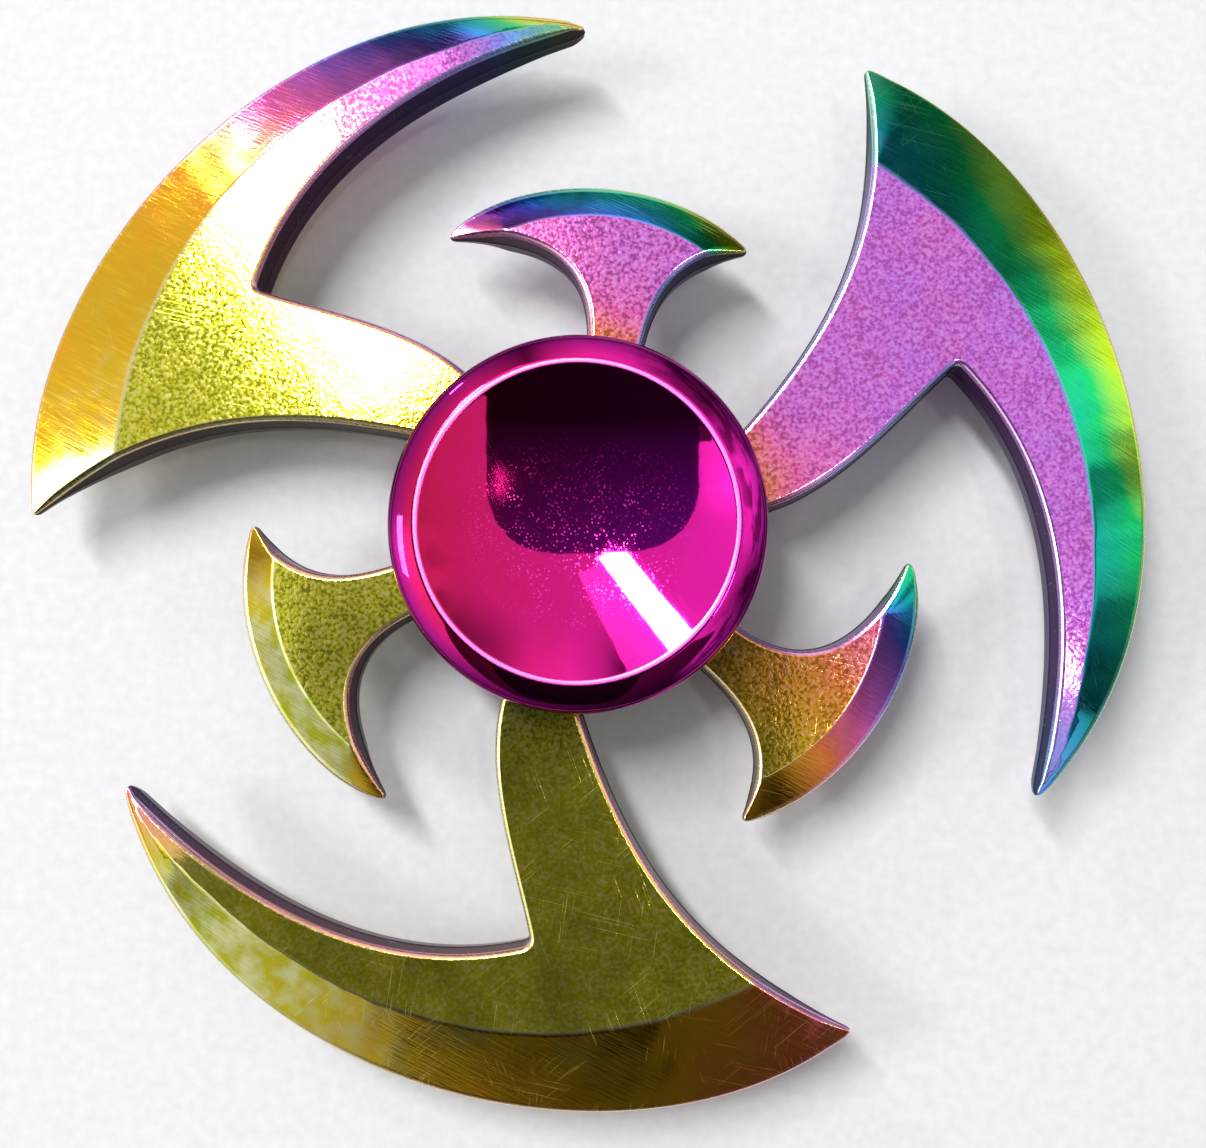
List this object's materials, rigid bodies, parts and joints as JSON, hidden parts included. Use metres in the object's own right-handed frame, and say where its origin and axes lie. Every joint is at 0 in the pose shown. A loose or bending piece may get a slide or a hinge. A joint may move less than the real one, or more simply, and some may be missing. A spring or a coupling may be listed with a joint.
{
  "type": "fidget spinner",
  "caption": "Hand spinner with curved sickle and hook blades in rainbow metal, turning on a ball bearing between two dished magenta thumb caps.",
  "frame": {"origin": "centre of the ball bearing, on the spin axis and in the middle plane of the blade frame", "axes": "+Z along the spin axis towards the upper thumb cap; +X to the right and +Y up when the upper cap faces the viewer, with one small hook blade pointing along +Y"},
  "size_m": [0.0747, 0.0736, 0.0112],
  "materials": {
    "rainbow_plate": "cast zinc with an oil-slick rainbow vapour coating: violet, magenta, gold, green and teal, glossy with a fine orange-peel grain",
    "magenta_plate": "turned aluminium with a mirror-bright magenta coating",
    "bearing_steel": "ground bearing steel",
    "ball_steel": "polished bearing balls",
    "stamped_steel": "stamped sheet steel"
  },
  "bodies": {
    "caps": {"cap_upper": "magenta_plate", "cap_lower": "magenta_plate", "bearing_inner_race": "bearing_steel"},
    "rotor": {"blade_frame": "rainbow_plate", "bearing_outer_race": "bearing_steel", "shield_upper": "stamped_steel", "shield_lower": "stamped_steel", "snap_ring_upper": "bearing_steel", "snap_ring_lower": "bearing_steel"},
    "cage": {"cage_half_upper": "stamped_steel", "cage_half_lower": "stamped_steel"},
    "ball_01": {"bearing_ball_01": "ball_steel"},
    "ball_02": {"bearing_ball_02": "ball_steel"},
    "ball_03": {"bearing_ball_03": "ball_steel"},
    "ball_04": {"bearing_ball_04": "ball_steel"},
    "ball_05": {"bearing_ball_05": "ball_steel"},
    "ball_06": {"bearing_ball_06": "ball_steel"},
    "ball_07": {"bearing_ball_07": "ball_steel"},
    "ball_08": {"bearing_ball_08": "ball_steel"},
    "ball_09": {"bearing_ball_09": "ball_steel"},
    "ball_10": {"bearing_ball_10": "ball_steel"}
  },
  "joints": [
    {"name": "frame_spin", "type": "hinge", "parent": "caps", "child": "rotor", "pos_m": [0, 0, 0], "axis": [0, 0, 1], "continuous": true},
    {"name": "cage_orbit", "type": "hinge", "parent": "caps", "child": "cage", "pos_m": [0, 0, 0], "axis": [0, 0, 1], "continuous": true},
    {"name": "ball_spin_01", "type": "hinge", "parent": "cage", "child": "ball_01", "pos_m": [0.00476, 0, 0], "axis": [0, 0, 1], "continuous": true},
    {"name": "ball_spin_02", "type": "hinge", "parent": "cage", "child": "ball_02", "pos_m": [0.00385, 0.0028, 0], "axis": [0, 0, 1], "continuous": true},
    {"name": "ball_spin_03", "type": "hinge", "parent": "cage", "child": "ball_03", "pos_m": [0.00147, 0.00453, 0], "axis": [0, 0, 1], "continuous": true},
    {"name": "ball_spin_04", "type": "hinge", "parent": "cage", "child": "ball_04", "pos_m": [-0.00147, 0.00453, 0], "axis": [0, 0, 1], "continuous": true},
    {"name": "ball_spin_05", "type": "hinge", "parent": "cage", "child": "ball_05", "pos_m": [-0.00385, 0.0028, 0], "axis": [0, 0, 1], "continuous": true},
    {"name": "ball_spin_06", "type": "hinge", "parent": "cage", "child": "ball_06", "pos_m": [-0.00476, 0, 0], "axis": [0, 0, 1], "continuous": true},
    {"name": "ball_spin_07", "type": "hinge", "parent": "cage", "child": "ball_07", "pos_m": [-0.00385, -0.0028, 0], "axis": [0, 0, 1], "continuous": true},
    {"name": "ball_spin_08", "type": "hinge", "parent": "cage", "child": "ball_08", "pos_m": [-0.00147, -0.00453, 0], "axis": [0, 0, 1], "continuous": true},
    {"name": "ball_spin_09", "type": "hinge", "parent": "cage", "child": "ball_09", "pos_m": [0.00147, -0.00453, 0], "axis": [0, 0, 1], "continuous": true},
    {"name": "ball_spin_10", "type": "hinge", "parent": "cage", "child": "ball_10", "pos_m": [0.00385, -0.0028, 0], "axis": [0, 0, 1], "continuous": true}
  ],
  "couplings": [
    {"joint": "cage_orbit", "follows": "frame_spin", "ratio": 0.58336},
    {"joint": "ball_spin_01", "follows": "frame_spin", "ratio": 2.9157},
    {"joint": "ball_spin_02", "follows": "frame_spin", "ratio": 2.9157},
    {"joint": "ball_spin_03", "follows": "frame_spin", "ratio": 2.9157},
    {"joint": "ball_spin_04", "follows": "frame_spin", "ratio": 2.9157},
    {"joint": "ball_spin_05", "follows": "frame_spin", "ratio": 2.9157},
    {"joint": "ball_spin_06", "follows": "frame_spin", "ratio": 2.9157},
    {"joint": "ball_spin_07", "follows": "frame_spin", "ratio": 2.9157},
    {"joint": "ball_spin_08", "follows": "frame_spin", "ratio": 2.9157},
    {"joint": "ball_spin_09", "follows": "frame_spin", "ratio": 2.9157},
    {"joint": "ball_spin_10", "follows": "frame_spin", "ratio": 2.9157}
  ]
}
